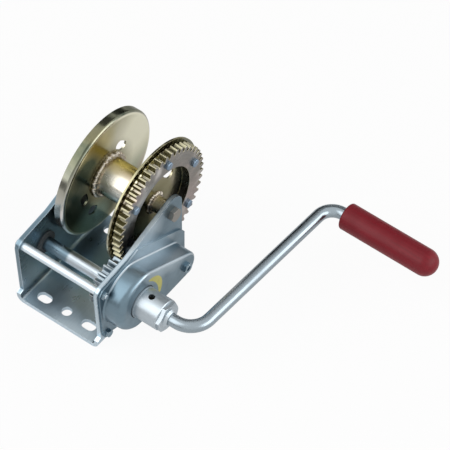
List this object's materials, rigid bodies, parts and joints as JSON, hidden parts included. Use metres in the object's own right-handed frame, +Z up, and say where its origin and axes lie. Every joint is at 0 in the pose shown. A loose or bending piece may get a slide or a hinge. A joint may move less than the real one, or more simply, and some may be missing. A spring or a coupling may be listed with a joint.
{
  "type": "boat trailer winch",
  "caption": "Hand-cranked trailer winch: bent channel frame, flanged rope drum with a spur gear, pinion shaft, covered ratchet brake and a bent crank with a turning grip.",
  "frame": {"origin": "centre of the base's four bolt slots, on the underside of the base", "axes": "+X along the axles towards the crank, +Y to the back, +Z up"},
  "size_m": [0.3196, 0.246, 0.1548],
  "materials": {
    "zinc": "satin",
    "bright_zinc": "polished",
    "yellow_zinc": "satin",
    "blue_zinc": "satin",
    "dark_steel": "satin",
    "black_nylon": "matte",
    "brake_lining": "matte",
    "red_grip": "matte"
  },
  "bodies": {
    "frame": {"frame": "zinc", "front_tie_rod": "bright_zinc", "tie_rod_nuts": "zinc", "axle_bolt": "dark_steel", "axle_nut": "dark_steel", "axle_washers": "bright_zinc", "left_bush": "black_nylon", "right_bush": "black_nylon", "brake_cover": "zinc", "cover_screw": "zinc", "pawl_bolt": "zinc", "pawl_spacer": "bright_zinc", "ratchet_wheel": "dark_steel", "pawl_spring": "bright_zinc"},
    "drum": {"core_tube": "yellow_zinc", "bearing_tube": "yellow_zinc", "left_flange": "yellow_zinc", "right_flange": "yellow_zinc", "drum_gear": "yellow_zinc", "gear_rivets": "blue_zinc"},
    "crank": {"drive_shaft": "bright_zinc", "pinion": "bright_zinc", "shaft_clip": "dark_steel", "pressure_plate": "dark_steel", "friction_discs": "brake_lining", "crank_hub": "bright_zinc", "hub_set_screw": "dark_steel", "crank_handle": "bright_zinc", "grip_retainer": "dark_steel"},
    "grip": {"grip": "red_grip"},
    "pawl": {"pawl": "dark_steel"}
  },
  "joints": [
    {"name": "drum_spin", "type": "hinge", "parent": "frame", "child": "drum", "pos_m": [0, 0.0495, 0.0885], "axis": [1, 0, 0], "continuous": true},
    {"name": "crank_spin", "type": "hinge", "parent": "frame", "child": "crank", "pos_m": [0, -0.0255, 0.05123], "axis": [1, 0, 0], "continuous": true},
    {"name": "grip_spin", "type": "hinge", "parent": "crank", "child": "grip", "pos_m": [0.2, 0.1685, 0.05123], "axis": [1, 0, 0], "continuous": true},
    {"name": "pawl_swing", "type": "hinge", "parent": "frame", "child": "pawl", "pos_m": [0.058, 0.04, 0.035], "axis": [-1, 0, 0], "range_deg": [0, 3.4], "stiffness_Nm_per_rad": 0.05, "springref_deg": -17.19}
  ],
  "couplings": [
    {"joint": "crank_spin", "follows": "drum_spin", "ratio": -2.7222}
  ]
}
